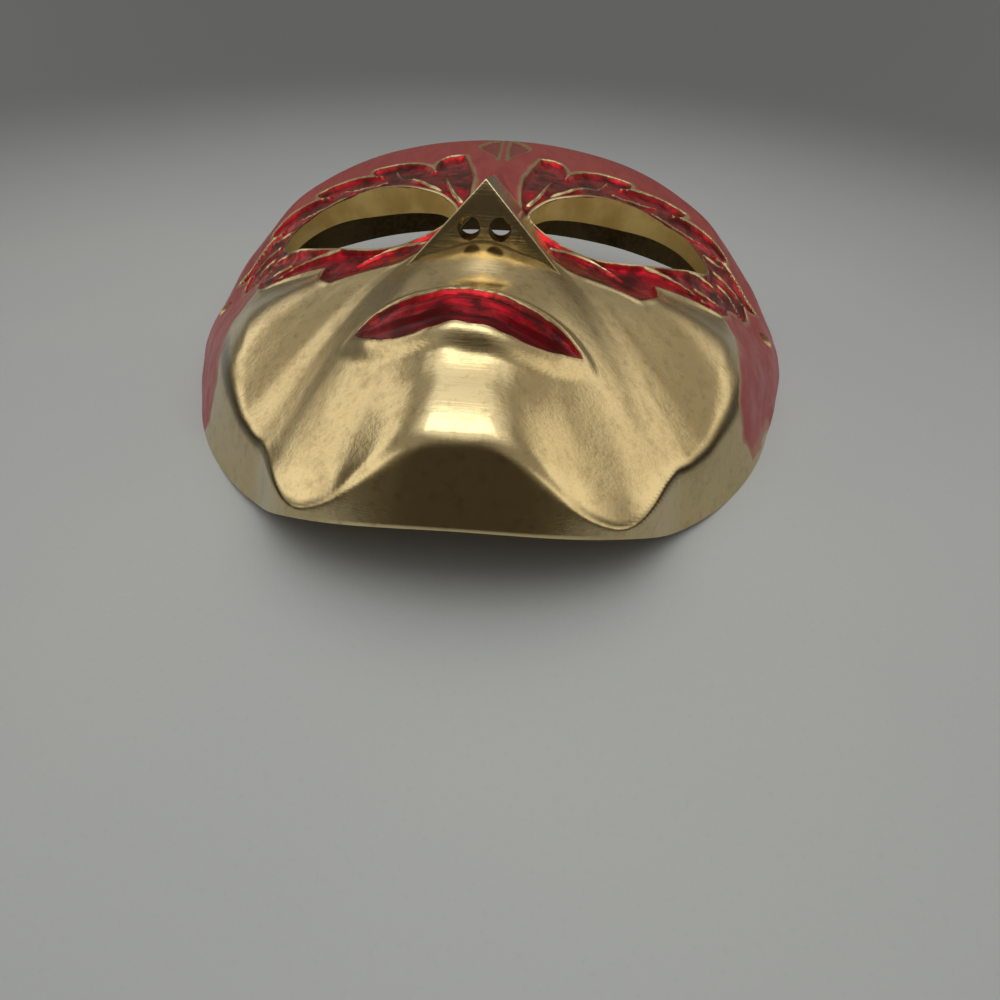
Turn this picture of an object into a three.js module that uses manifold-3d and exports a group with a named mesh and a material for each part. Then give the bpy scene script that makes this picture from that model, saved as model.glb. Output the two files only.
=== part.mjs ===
// A cast brass face mask, lying face up: +X across the face, +Y up to the forehead, +Z out of it.
// Millimetres. The origin is in the middle of the plane that its side rims rest on.

import * as THREE from "three";
import { mergeVertices } from "three/addons/utils/BufferGeometryUtils.js";
import Module from "manifold-3d";

const wasm = await Module();
wasm.setup();

// Driving sizes
const CHIN_Y = -77.75;
const FOREHEAD_Y = 77.6;
const HUB_Y = 4; // the middle that the rim is measured round
const WALL = 3.3; // metal thickness of the face
const RIM_WALL = 3.4; // metal thickness across the rim
const NOSE_WALL = 2.6;
const FLOOR_Z = -8; // well below the mask, where cutting bodies end
const SKY_Z = 70; // well above it

// The right half of the rim from chin to forehead: x, y and the height of its edge.
// It touches the table along both sides and lifts at the chin and the forehead.
const RIM = [
  [0, CHIN_Y, 19], [27.3, -71.9, 14], [44.3, -54.4, 2], [57.3, -39.8, 0], [67.6, -20.4, 0],
  [73.6, -4, 0], [78.8, 14, 0], [80.7, 28, 0], [79.5, 44.5, 0.8], [72.5, 55.5, 3], [60.5, 64.3, 5.5],
  [34.5, 75, 9.5], [0, FOREHEAD_Y, 11.5],
];

// By angle round the hub, -90 at the chin and 90 at the forehead
const WALL_SLOPE = [
  [-90, 2.1], [-80, 2.2], [-70, 2.8], [-60, 3.2], [-47, 2.6], [-35, 2.2], [-10, 1.75], [15, 1.2],
  [40, 2.3], [65, 4.4], [90, 6],
];
const WALL_ROUND = [[-90, 4], [-78, 6], [-60, 6], [-35, 7], [-10, 9], [15, 14], [40, 14], [65, 9], [90, 8]];
const ROUND_REACH = 12; // the rounding fades out over this distance from the rim
const LEAST_ROUND = 0.02; // the share of it that is left at the rim

// The slope of jaw and chin runs straight out from the hub, by its heights at two distances from it
const JAW_REACH = [50, 75];
const JAW_NEAR = [
  [-90, 48], [-80, 43], [-74, 39.6], [-68, 36], [-62, 32.4], [-56, 29], [-50, 26.6], [-44, 25.6],
  [-36, 26.2], [-28, 28], [-10, 34], [10, 44], [30, 60],
];
const JAW_FAR = [
  [-90, 40], [-84, 34.5], [-80, 29.4], [-77, 25.6], [-74, 22.4], [-70, 19.4], [-66, 17], [-62, 14.6],
  [-56, 11.2], [-50, 9], [-44, 8.2], [-36, 9], [-28, 11], [-10, 17], [10, 30], [30, 50],
];
const JAW_ROUND = [[-90, 3], [-84, 6], [-78, 8], [-66, 10], [-50, 12], [-28, 10], [0, 6]];

// By y: the height along the middle of the face, and how fast it falls away to the sides
const MIDLINE = [
  [-84, 25], [-78, 28.8], [-70, 33.6], [-64, 37.1], [-59, 39.9], [-56, 41.3], [-52, 42.4], [-46, 43],
  [-42, 43], [-31, 42.3], [-21, 42], [-6, 41.5], [14, 41], [29, 41.2], [44, 41.5], [56, 41.4],
  [66, 40.6], [72, 39.2], [80, 36],
];
const SIDE_FALL = [[-76, 0.008], [-26, 0.007], [14, 0.0061], [54, 0.0039], [79, 0.0041]];

// Soft swells and hollows on both sides of the face, turned by their tilt in degrees
const BROW = { x: 30, y: 22, across: 24, along: 9, rise: 3.6, tilt: 0 };
const SOCKET = { x: 27, y: -2, across: 21, along: 12, rise: -5.2, tilt: -4 };
const CHEEK = { x: 42, y: -26, across: 15, along: 16, rise: 1.4, tilt: 0 };
const LIP_HOLLOW = { x: 0, y: -58.5, across: 20, along: 4, rise: -1, tilt: 0 };

// The fold from the wing of the nose past the corner of the mouth
const FOLD = [[15.5, -17], [19, -27], [22, -38], [25, -47], [27, -54]];
const FOLD_DEPTH = [[0, 0], [0.12, 0.6], [0.45, 0.5], [0.8, 0.3], [1, 0]];
const FOLD_WIDTH = 5.5;

// The nose is a three-sided pyramid whose underside leans back a little
const NOSE_TIP = new THREE.Vector3(0, -17.5, 55.6);
const NOSE_WING = new THREE.Vector3(17.5, -21.5, 37);
const NOSE_ROOT = new THREE.Vector3(0, 36, 41);
const NOSE_SPREAD = 1.25; // carries the flanks on into the face
const NOSE_RUN = 1.1; // carries the ridge on past the root
const NOSE_SINK = 20; // how far the joined body reaches in below the wings
const NOSE_STEEP = 0.65; // a wall's width over its height where it stands as steep as the flanks
const NOSTRIL = { x: 3.1, z: 46.5, radius: 2.25, length: 8 };
const TIE_HOLE = { y: 20, z: 5.5, radius: 2, length: 200 };
const HOLE_SIDES = 20;

// The right eye opening, as points of one smooth closed curve
const EYE = [
  [8.6, 8.5], [12.2, 15], [18.5, 18.6], [30, 22.6], [41, 26.8], [49, 26.6], [55.2, 20.8], [46.2, 11.2],
  [33, 5], [20.5, 1.6], [12.5, 3.6],
];

// The leaf ornament round the right eye: a chain of arcs, each a pull point and an end point
const LEAF_START = [6.4, 12];
const LEAF_EDGE = [
  [4.6, 27, 10.3, 48], [18.6, 49.5, 17.3, 37], [21, 48, 35.5, 46.5], [36, 42, 32.2, 40.5],
  [41, 46, 51.3, 42.5], [50, 38.5, 46.8, 38], [54, 41, 63.2, 34.8], [62, 31, 58.6, 30.8],
  [65, 32.5, 73, 28], [71, 25.6, 68, 25.8], [70, 20, 65.5, 15.5], [62, 14.5, 59.8, 10.8],
  [60, 7, 56.5, 3.2], [50, 0.5, 39, 0], [40, -10, 33.6, -15.8], [26, -14.5, 17, -16.5],
  [11, -13, 8.5, -4], [7, 4, 6.4, 12],
];
// Raised midribs left standing in the sunk leaves: start, pull point, end
const RIBS = [
  [8, 13.5, 13, 20, 13.6, 33], [13.6, 18, 24, 25, 28.5, 42.5], [29.6, 32, 38, 34, 43.5, 39],
  [40.4, 31, 50, 29.5, 55.8, 33], [55, 26.5, 58.5, 27, 62, 30.5], [57.6, 23.5, 63, 26, 68, 26.2],
  [58.5, 20, 63.5, 21.5, 66.5, 18.5], [49, 13, 54, 17.5, 59.5, 15.5], [50, 7.5, 55, 7, 59, 10.2],
  [37, 6, 42, 6.5, 54, 4.5], [14, -2, 22, 4, 31, -2],
];
const RIB_WIDTH = 1.5;
const RIB_TAPER = 0.6; // the share of its width that a rib has lost at its tip
const RIB_STEPS = 5;
const LEAF_SINK = 0.9;
const LID_EDGE = 1.6; // plain metal left round the eye opening
const EYE_STEPS = 34;

// The mouth: the two lips are sunk inside a raised edge
const MOUTH_RIGHT = [22, -43.2];
const MOUTH_LEFT = [-MOUTH_RIGHT[0], MOUTH_RIGHT[1]];
const LIPS_TOP = [-20, -39.4, -9, -43.4, 0, -41.2, 9, -43.4, 20, -39.4];
const LIPS_PART = [-10, -48.4, 0, -48.2, 10, -48.4];
const LIPS_BOTTOM = [13, -54, 0, -52.6, -13, -54];
const LIP_GAP = 0.6; // metal left between the two lips
const LIP_ROOT_Z = 22; // the raised lips are built up from here, inside the wall
const LIP_EDGE = 1.5;
const LIP_RISE = 1.2;
const LIP_SINK = 0.8;

// The forehead emblem: a plain leaf of two halves either side of a midrib
const EMBLEM = { tip: 43.6, split: 46.4, end: 74, half: 7.5, rib: 1.1 };

const RIM_STEPS = 64; // facets round the mask
const FACE_RINGS = 18;
const BACK_RINGS = 12;
const RING_CROWD = 1.6; // crowds the rings towards the steep side wall
const UNDERSIDE_SHARES = [1, 0.85]; // of the radius, where a body's underside has its rings
const UNDERSIDE_HUB_Z = 9;
const HOLLOW_OVERLAP = 1; // the hollow's body reaches this far into the rim below the back

// Smooth curve through [place, value] points, level at each turning point and at both ends.
function curve(points, place) {
  const last = points.length - 1;
  const at = Math.min(Math.max(place, points[0][0]), points[last][0]);
  let i = 0;
  while (i < last - 1 && at >= points[i + 1][0]) {
    i += 1;
  }
  const secant = (k) => (points[k + 1][1] - points[k][1]) / (points[k + 1][0] - points[k][0]);
  const slope = (k) => {
    if (k === 0 || k === last || secant(k - 1) * secant(k) <= 0) {
      return 0;
    }
    return (2 * secant(k - 1) * secant(k)) / (secant(k - 1) + secant(k));
  };
  const h = points[i + 1][0] - points[i][0];
  const u = (at - points[i][0]) / h;
  const rise = points[i][1] * (1 + 2 * u) * (1 - u) ** 2 + points[i + 1][1] * u * u * (3 - 2 * u);
  return rise + h * slope(i) * u * (1 - u) ** 2 + h * slope(i + 1) * u * u * (u - 1);
}

// The lower of two heights, with the corner between them rounded over.
function roundedLower(a, b, round) {
  const h = THREE.MathUtils.clamp(0.5 + (0.5 * (b - a)) / round, 0, 1);
  return b * (1 - h) + a * h - round * h * (1 - h);
}

function swell(x, y, { x: cx, y: cy, across, along, rise, tilt }) {
  const turn = THREE.MathUtils.degToRad(tilt);
  const dx = Math.abs(x) - cx;
  const dy = y - cy;
  const u = (dx * Math.cos(turn) + dy * Math.sin(turn)) / across;
  const v = (-dx * Math.sin(turn) + dy * Math.cos(turn)) / along;
  return rise * Math.exp(-(u * u + v * v));
}

// Depth of the fold beside nose and mouth, from the nearest point of its line.
function fold(x, y) {
  let nearest = Infinity;
  let place = 0;
  for (let i = 0; i < FOLD.length - 1; i += 1) {
    const [ax, ay] = FOLD[i];
    const [bx, by] = FOLD[i + 1];
    const along = ((Math.abs(x) - ax) * (bx - ax) + (y - ay) * (by - ay)) / ((bx - ax) ** 2 + (by - ay) ** 2);
    const t = THREE.MathUtils.clamp(along, 0, 1);
    const away = Math.hypot(Math.abs(x) - ax - t * (bx - ax), y - ay - t * (by - ay));
    if (away < nearest) {
      nearest = away;
      place = (i + t) / (FOLD.length - 1);
    }
  }
  return curve(FOLD_DEPTH, place) * Math.exp(-((nearest / FOLD_WIDTH) ** 2));
}

const rimAngle = ([x, y]) => THREE.MathUtils.radToDeg(Math.atan2(y - HUB_Y, x));
const RIM_RADIUS = RIM.map((p) => [rimAngle(p), Math.hypot(p[0], p[1] - HUB_Y)]);
const RIM_HEIGHT = RIM.map((p) => [rimAngle(p), p[2]]);

const sideAngle = (x, y) => rimAngle([Math.abs(x), y]);

// Height of the face outside, without the nose.
function frontHeight(x, y) {
  const middle = curve(MIDLINE, y) - curve(SIDE_FALL, y) * x * x;
  const soft = [BROW, SOCKET, CHEEK, LIP_HOLLOW].reduce((sum, part) => sum + swell(x, y, part), 0);
  return meetWall(x, y, middle + soft - fold(x, y), 0, 0);
}

// Height of the back: it lies a wall deeper and leaves the brow solid.
function backHeight(x, y) {
  const middle = curve(MIDLINE, y) - curve(SIDE_FALL, y) * x * x - WALL;
  const soft = [SOCKET, CHEEK, LIP_HOLLOW].reduce((sum, part) => sum + swell(x, y, part), 0);
  return meetWall(x, y, middle + soft - fold(x, y), WALL, RIM_WALL);
}

function jawHeight(angle, away) {
  const share = (away - JAW_REACH[0]) / (JAW_REACH[1] - JAW_REACH[0]);
  return THREE.MathUtils.lerp(curve(JAW_NEAR, angle), curve(JAW_FAR, angle), share);
}

// Takes the face down over the slope of the jaw, drop below it, and joins it to the side wall,
// which rises from the rim, or from a line inset from it.
function meetWall(x, y, height, drop, inset) {
  const angle = sideAngle(x, y);
  const away = Math.hypot(x, y - HUB_Y);
  const face = roundedLower(height, jawHeight(angle, away) - drop, curve(JAW_ROUND, angle));
  const inward = curve(RIM_RADIUS, angle) - inset - away;
  const edge = curve(RIM_HEIGHT, angle);
  const wall = edge + curve(WALL_SLOPE, angle) * inward;
  const nearRim = THREE.MathUtils.clamp(inward / ROUND_REACH, LEAST_ROUND, 1);
  const met = roundedLower(face, wall, curve(WALL_ROUND, angle) * nearRim);
  return inward > 0 ? Math.max(met, edge) : met;
}

function toSolid(geometry) {
  const bare = geometry.index ? geometry.toNonIndexed() : geometry.clone();
  bare.deleteAttribute("normal");
  bare.deleteAttribute("uv");
  const merged = mergeVertices(bare, 1e-4);
  const mesh = new wasm.Mesh({
    numProp: 3,
    vertProperties: new Float32Array(merged.attributes.position.array),
    triVerts: new Uint32Array(merged.index.array),
  });
  return new wasm.Manifold(mesh);
}

function toGeometry(solid) {
  const mesh = solid.getMesh();
  const geometry = new THREE.BufferGeometry();
  geometry.setAttribute("position", new THREE.BufferAttribute(new Float32Array(mesh.vertProperties), 3));
  geometry.setIndex(new THREE.BufferAttribute(new Uint32Array(mesh.triVerts), 1));
  geometry.computeVertexNormals();
  return geometry;
}

// A closed body under a height function, on rings round the hub that fill the rim's outline.
// bottomAt gives the height of its underside at an angle and a share of the radius.
function bodyUnder(height, { rings, inset, bottomAt }) {
  const points = [];
  const edgeRadius = (angle) => curve(RIM_RADIUS, angle) - inset;
  const place = (step, share) => {
    const turn = (2 * Math.PI * step) / RIM_STEPS;
    const angle = sideAngle(Math.cos(turn), HUB_Y + Math.sin(turn));
    const radius = edgeRadius(angle) * share;
    return { x: radius * Math.cos(turn), y: HUB_Y + radius * Math.sin(turn), angle };
  };
  const addRing = (share, levelOf) => {
    for (let step = 0; step < RIM_STEPS; step += 1) {
      const { x, y, angle } = place(step, share);
      points.push(x, y, levelOf(x, y, angle));
    }
  };
  points.push(0, HUB_Y, height(0, HUB_Y));
  for (let ring = 1; ring <= rings; ring += 1) {
    addRing(1 - (1 - ring / rings) ** RING_CROWD, (x, y) => height(x, y));
  }
  UNDERSIDE_SHARES.forEach((share) => addRing(share, (x, y, angle) => bottomAt(angle, share)));
  points.push(0, HUB_Y, bottomAt(0, 0));

  const index = [];
  const ringCount = rings + UNDERSIDE_SHARES.length;
  const at = (ring, step) => 1 + (ring - 1) * RIM_STEPS + (step % RIM_STEPS);
  const bottomHub = 1 + ringCount * RIM_STEPS;
  for (let step = 0; step < RIM_STEPS; step += 1) {
    index.push(0, at(1, step), at(1, step + 1));
    index.push(bottomHub, at(ringCount, step + 1), at(ringCount, step));
    for (let ring = 1; ring < ringCount; ring += 1) {
      index.push(at(ring, step), at(ring + 1, step), at(ring + 1, step + 1));
      index.push(at(ring, step), at(ring + 1, step + 1), at(ring, step + 1));
    }
  }
  const geometry = new THREE.BufferGeometry();
  geometry.setAttribute("position", new THREE.BufferAttribute(new Float32Array(points), 3));
  geometry.setIndex(index);
  return toSolid(geometry);
}

// An upright prism over an outline, from one height to another.
function prism(shape, low = FLOOR_Z, high = SKY_Z, curveSegments = 4) {
  const geometry = new THREE.ExtrudeGeometry(shape, { depth: high - low, bevelEnabled: false, curveSegments });
  geometry.translate(0, 0, low);
  return toSolid(geometry);
}

const mirrored = (solid) => solid.mirror([1, 0, 0]);
const bothSides = (solid) => solid.add(mirrored(solid));

function eyeShape(grow) {
  const points = EYE.map(([x, y]) => new THREE.Vector3(x, y, 0));
  const line = new THREE.CatmullRomCurve3(points, true, "centripetal").getPoints(EYE_STEPS).slice(0, -1);
  const centre = points.reduce((sum, p) => sum.add(p), new THREE.Vector3()).divideScalar(points.length);
  const outward = (i) => {
    const before = line[(i + line.length - 1) % line.length];
    const after = line[(i + 1) % line.length];
    const side = new THREE.Vector3(after.y - before.y, before.x - after.x, 0).normalize();
    return side.dot(line[i].clone().sub(centre)) < 0 ? side.negate() : side;
  };
  return new THREE.Shape(line.map((p, i) => p.clone().addScaledVector(outward(i), grow)));
}

function leafShape() {
  const shape = new THREE.Shape();
  shape.moveTo(...LEAF_START);
  LEAF_EDGE.forEach((arc) => shape.quadraticCurveTo(...arc));
  return shape;
}

// A rib is a thin spindle along its line, widest at the root and running out to a point.
function ribShape([ax, ay, bx, by, cx, cy]) {
  const line = new THREE.QuadraticBezierCurve(
    new THREE.Vector2(ax, ay), new THREE.Vector2(bx, by), new THREE.Vector2(cx, cy));
  const left = [];
  const right = [];
  for (let i = 0; i < RIB_STEPS; i += 1) {
    const t = i / RIB_STEPS;
    const point = line.getPoint(t);
    const tangent = line.getTangent(t);
    const half = (RIB_WIDTH / 2) * (1 - RIB_TAPER * t);
    left.push(new THREE.Vector2(point.x - tangent.y * half, point.y + tangent.x * half));
    right.unshift(new THREE.Vector2(point.x + tangent.y * half, point.y - tangent.x * half));
  }
  return new THREE.Shape([...left, new THREE.Vector2(cx, cy), ...right]);
}

function mouthShape(top, bottom, grow) {
  const shape = new THREE.Shape();
  shape.moveTo(MOUTH_LEFT[0] - grow, MOUTH_LEFT[1]);
  const [a, b, c, d, e, f, g, h, i, j] = top;
  shape.bezierCurveTo(a, b + grow, c, d + grow, e, f + grow);
  shape.bezierCurveTo(g, h + grow, i, j + grow, MOUTH_RIGHT[0] + grow, MOUTH_RIGHT[1]);
  const [k, l, m, n, o, p] = bottom;
  shape.quadraticCurveTo(k, l - grow, m, n - grow);
  shape.quadraticCurveTo(o, p - grow, MOUTH_LEFT[0] - grow, MOUTH_LEFT[1]);
  return shape;
}

// The lower lip, between the line where the lips part and the bottom edge.
function lowerLipShape() {
  const shape = new THREE.Shape();
  shape.moveTo(MOUTH_LEFT[0], MOUTH_LEFT[1] - LIP_GAP);
  const [a, b, c, d, e, f] = LIPS_PART;
  shape.quadraticCurveTo(a, b - LIP_GAP, c, d - LIP_GAP);
  shape.quadraticCurveTo(e, f - LIP_GAP, MOUTH_RIGHT[0], MOUTH_RIGHT[1] - LIP_GAP);
  const [k, l, m, n, o, p] = LIPS_BOTTOM;
  shape.quadraticCurveTo(k, l, m, n);
  shape.quadraticCurveTo(o, p, MOUTH_LEFT[0], MOUTH_LEFT[1] - LIP_GAP);
  return shape;
}

function emblemShape() {
  const shape = new THREE.Shape();
  const middle = (EMBLEM.tip + EMBLEM.end) / 2;
  shape.moveTo(EMBLEM.rib, EMBLEM.split);
  shape.quadraticCurveTo(EMBLEM.half, middle, EMBLEM.rib, EMBLEM.end);
  shape.lineTo(EMBLEM.rib, EMBLEM.split);
  return shape;
}

// The nose pyramid: drop lowers its flanks and inset moves its underside up the face.
function noseBody(drop, inset) {
  const tip = NOSE_TIP.clone();
  const wing = NOSE_TIP.clone().lerp(NOSE_WING, NOSE_SPREAD);
  const root = NOSE_TIP.clone().lerp(NOSE_ROOT, NOSE_RUN);
  const share = inset / (root.y - tip.y);
  [tip, wing].forEach((corner) => corner.lerp(root, share));
  const top = [tip, wing, root, new THREE.Vector3(-wing.x, wing.y, wing.z)];
  const points = [];
  top.forEach((p) => points.push(p.x, p.y, p.z - drop));
  const base = drop > 0 ? FLOOR_Z : NOSE_WING.z - NOSE_SINK;
  [wing, root, top[3]].forEach((p) => points.push(p.x, p.y, base));
  const geometry = new THREE.BufferGeometry();
  geometry.setAttribute("position", new THREE.BufferAttribute(new Float32Array(points), 3));
  geometry.setIndex([
    0, 1, 2, 0, 2, 3, 0, 3, 1, 3, 6, 4, 3, 4, 1, 1, 4, 5, 1, 5, 2, 2, 5, 6, 2, 6, 3, 4, 6, 5,
  ]);
  return toSolid(geometry);
}

function holeAlong(axis, { radius, length }, x, y, z) {
  const geometry = new THREE.CylinderGeometry(radius, radius, length, HOLE_SIDES);
  if (axis === "x") {
    geometry.rotateZ(Math.PI / 2);
  }
  geometry.translate(x, y, z);
  return toSolid(geometry);
}

function buildMask() {
  const rimLevel = (angle, share) => (share === 0 ? UNDERSIDE_HUB_Z : curve(RIM_HEIGHT, angle));
  const floorLevel = () => FLOOR_Z;
  const front = (lift) =>
    bodyUnder((x, y) => frontHeight(x, y) + lift, { rings: FACE_RINGS, inset: 0, bottomAt: floorLevel });
  const filled = bodyUnder(frontHeight, { rings: FACE_RINGS, inset: 0, bottomAt: rimLevel });
  const hollow = bodyUnder(backHeight,
    { rings: BACK_RINGS, inset: RIM_WALL - HOLLOW_OVERLAP, bottomAt: floorLevel });

  // Lips stand a little proud and are sunk again inside their edge
  const lipsAll = mouthShape(LIPS_TOP, LIPS_BOTTOM, LIP_EDGE);
  const upperLip = mouthShape(LIPS_TOP, [LIPS_PART[4], LIPS_PART[5], LIPS_PART[2], LIPS_PART[3],
    LIPS_PART[0], LIPS_PART[1]], 0);
  const lipBlock = front(LIP_RISE).intersect(prism(lipsAll, LIP_ROOT_Z));
  const lipTools = prism(upperLip).add(prism(lowerLipShape()));
  const lips = lipBlock.subtract(lipTools.subtract(front(LIP_RISE - LIP_SINK)));

  // Leaves and emblem are sunk areas with their ribs left standing
  const ribs = RIBS.map((rib) => prism(ribShape(rib))).reduce((sum, rib) => sum.add(rib));
  const lids = prism(eyeShape(LID_EDGE));
  const leaves = bothSides(prism(leafShape(), FLOOR_Z, SKY_Z, 3).subtract(ribs).subtract(lids));
  const emblem = bothSides(prism(emblemShape()));
  const sunk = leaves.add(emblem).subtract(front(-LEAF_SINK));

  const eyes = bothSides(prism(eyeShape(0)));
  const nostrils = bothSides(holeAlong("y", NOSTRIL, NOSTRIL.x, NOSE_TIP.y, NOSTRIL.z));
  const ties = holeAlong("x", TIE_HOLE, 0, TIE_HOLE.y, TIE_HOLE.z);

  return filled.subtract(sunk).add(lips).add(noseBody(0, 0))
    .subtract(hollow).subtract(noseBody(NOSE_WALL / NOSE_STEEP, NOSE_WALL))
    .subtract(eyes).subtract(nostrils).subtract(ties);
}

const brass = new THREE.MeshStandardMaterial({ color: 0xb59a5c, roughness: 0.28, metalness: 1 });

const mask = new THREE.Mesh(toGeometry(buildMask()), brass);
mask.name = "brass_mask";

const group = new THREE.Group();
group.add(mask);

export default group;
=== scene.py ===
"""A cast brass face mask lying face up: polished brass, pink enamel, red lacquer in sunk leaves and lips.

The casting's lengths are millimetres in the row's frame: +X across the face, +Y to the forehead,
+Z out of it. make_object() turns them into the metres of the scene.
"""
import math

import bpy
import numpy as np
from mathutils import Matrix, Vector


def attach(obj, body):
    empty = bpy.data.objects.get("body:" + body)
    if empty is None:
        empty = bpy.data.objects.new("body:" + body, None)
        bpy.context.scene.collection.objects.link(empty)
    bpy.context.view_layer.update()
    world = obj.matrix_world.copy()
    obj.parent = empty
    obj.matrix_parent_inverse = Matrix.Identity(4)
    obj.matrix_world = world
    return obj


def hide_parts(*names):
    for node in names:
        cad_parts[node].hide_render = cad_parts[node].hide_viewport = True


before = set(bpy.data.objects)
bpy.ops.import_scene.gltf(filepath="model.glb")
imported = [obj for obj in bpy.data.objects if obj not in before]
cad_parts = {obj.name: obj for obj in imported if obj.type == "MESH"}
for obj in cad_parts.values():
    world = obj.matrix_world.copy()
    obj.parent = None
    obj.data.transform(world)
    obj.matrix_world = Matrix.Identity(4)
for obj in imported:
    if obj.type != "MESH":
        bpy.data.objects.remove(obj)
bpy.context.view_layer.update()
MM = 0.001

# The casting's outer form, as the frame has it. Angles run round the hub from the chin, -90 degrees, by
# the side, 0, to the forehead, 90, and a list of pairs gives a value at each angle or place.
CHIN_Y = -77.75
FOREHEAD_Y = 77.6
HUB_Y = 4.0
WALL = 3.3
RIM_WALL = 3.4
HOLLOW_OVERLAP = 1.0
NOSE_WALL = 2.6
FLOOR_Z = -8.0  # cutting bodies reach down to here
SKY_Z = 70.0  # and up to here
# Corners of the rim's right half: x, y and height
RIM = [(0, CHIN_Y, 19), (27.3, -71.9, 14), (44.3, -54.4, 2), (57.3, -39.8, 0), (67.6, -20.4, 0),
       (73.6, -4, 0), (78.8, 14, 0), (80.7, 28, 0), (79.5, 44.5, 0.8), (72.5, 55.5, 3),
       (60.5, 64.3, 5.5), (34.5, 75, 9.5), (0, FOREHEAD_Y, 11.5)]
# Side wall: its steepness, and how softly it meets the face, by angle
WALL_SLOPE = [(-90, 2.1), (-80, 2.2), (-70, 2.8), (-60, 3.2), (-47, 2.6), (-35, 2.2), (-10, 1.75),
              (15, 1.2), (40, 2.3), (65, 4.4), (90, 6)]
WALL_ROUND = [(-90, 4), (-78, 6), (-60, 6), (-35, 7), (-10, 9), (15, 14), (40, 14), (65, 9), (90, 8)]
LEAST_ROUND = 0.02  # share of the softness that is left at the very rim
ROUND_REACH = 12.0  # how far inside the rim the softness is whole
# Jaw: its height by angle, at two distances from the hub, and how softly it meets the face
JAW_REACH = (50.0, 75.0)
JAW_NEAR = [(-90, 48), (-80, 43), (-74, 39.6), (-68, 36), (-62, 32.4), (-56, 29), (-50, 26.6), (-44, 25.6),
            (-36, 26.2), (-28, 28), (-10, 34), (10, 44), (30, 60)]
JAW_FAR = [(-90, 40), (-84, 34.5), (-80, 29.4), (-77, 25.6), (-74, 22.4), (-70, 19.4), (-66, 17), (-62, 14.6),
           (-56, 11.2), (-50, 9), (-44, 8.2), (-36, 9), (-28, 11), (-10, 17), (10, 30), (30, 50)]
JAW_ROUND = [(-90, 3), (-84, 6), (-78, 8), (-66, 10), (-50, 12), (-28, 10), (0, 6)]
# Face: its height along the middle, and how fast it falls to the sides, by y
MIDLINE = [(-84, 25), (-78, 28.8), (-70, 33.6), (-64, 37.1), (-59, 39.9), (-56, 41.3), (-52, 42.4),
           (-46, 43), (-42, 43), (-31, 42.3), (-21, 42), (-6, 41.5), (14, 41), (29, 41.2), (44, 41.5),
           (56, 41.4), (66, 40.6), (72, 39.2), (80, 36)]
SIDE_FALL = [(-76, 0.008), (-26, 0.007), (14, 0.0061), (54, 0.0039), (79, 0.0041)]
# Swells of the face: x, y, reach across and along, rise, and turn in degrees
BROW = (30, 22, 24, 9, 3.6, 0)
SOCKET = (27, -2, 21, 12, -5.2, -4)
CHEEK = (42, -26, 15, 16, 1.4, 0)
LIP_HOLLOW = (0, -58.5, 20, 4, -1, 0)
# The fold from the nose down past the mouth, and its depth by the share of its length
FOLD = [(15.5, -17), (19, -27), (22, -38), (25, -47), (27, -54)]
FOLD_DEPTH = [(0, 0), (0.12, 0.6), (0.45, 0.5), (0.8, 0.3), (1, 0)]
FOLD_WIDTH = 5.5

# Nose: a pyramid through these points, run on into the face behind its root and wings
NOSE_TIP = Vector((0, -17.5, 55.6))
NOSE_WING = Vector((17.5, -21.5, 37))
NOSE_ROOT = Vector((0, 36, 41))
NOSE_SPREAD = 1.25
NOSE_RUN = 1.1
NOSE_SINK = 20.0
NOSE_STEEP = 0.65  # thickness of a nose wall over its height upright
NOSE_BEVEL = 0.35
BEVEL_STEPS = 3
NOSE_PROUD = 0.45  # a point this far over the face is on the nose
NOSTRIL_LENGTH = 8.0
NOSTRIL = (3.1, 46.5, 2.25)  # x, z, radius
TIE_HOLE = (20, 5.5, 2.0)  # y, z, radius
TIE_BAR_LENGTH = 200.0

# Openings and ornament of the right side, in plan. Each row of an edge is one arc: the x and y of its
# pull, then of its end. A rib's row has its start first.
EYE = [(8.6, 8.5), (12.2, 15), (18.5, 18.6), (30, 22.6), (41, 26.8), (49, 26.6), (55.2, 20.8),
       (46.2, 11.2), (33, 5), (20.5, 1.6), (12.5, 3.6)]
LEAF_START = (6.4, 12)
LEAF_EDGE = [(4.6, 27, 10.3, 48), (18.6, 49.5, 17.3, 37), (21, 48, 35.5, 46.5), (36, 42, 32.2, 40.5),
             (41, 46, 51.3, 42.5), (50, 38.5, 46.8, 38), (54, 41, 63.2, 34.8), (62, 31, 58.6, 30.8),
             (65, 32.5, 73, 28), (71, 25.6, 68, 25.8), (70, 20, 65.5, 15.5), (62, 14.5, 59.8, 10.8),
             (60, 7, 56.5, 3.2), (50, 0.5, 39, 0), (40, -10, 33.6, -15.8), (26, -14.5, 17, -16.5),
             (11, -13, 8.5, -4), (7, 4, 6.4, 12)]
RIBS = [(8, 13.5, 13, 20, 13.6, 33), (13.6, 18, 24, 25, 28.5, 42.5), (29.6, 32, 38, 34, 43.5, 39),
        (40.4, 31, 50, 29.5, 55.8, 33), (55, 26.5, 58.5, 27, 62, 30.5), (57.6, 23.5, 63, 26, 68, 26.2),
        (58.5, 20, 63.5, 21.5, 66.5, 18.5), (49, 13, 54, 17.5, 59.5, 15.5), (50, 7.5, 55, 7, 59, 10.2),
        (37, 6, 42, 6.5, 54, 4.5), (14, -2, 22, 4, 31, -2)]
RIB_HALF = 0.85
RIB_TAPER = 0.55
RIB_RISE = 0.95
RIB_BARE = 0.66  # lacquer covers a rib up to this share of its height
LEAF_SINK = 0.9
LEAF_FOLDS = [(0.22, 5, 7), (0.12, 2.6, 8)]  # rise, size and seed of the uneven ground in a leaf
LEAF_LIP = 0.3  # how far the metal stands up along a leaf's edge
LEAF_LIP_MID = -0.5
LEAF_LIP_HALF = 0.6
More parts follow.
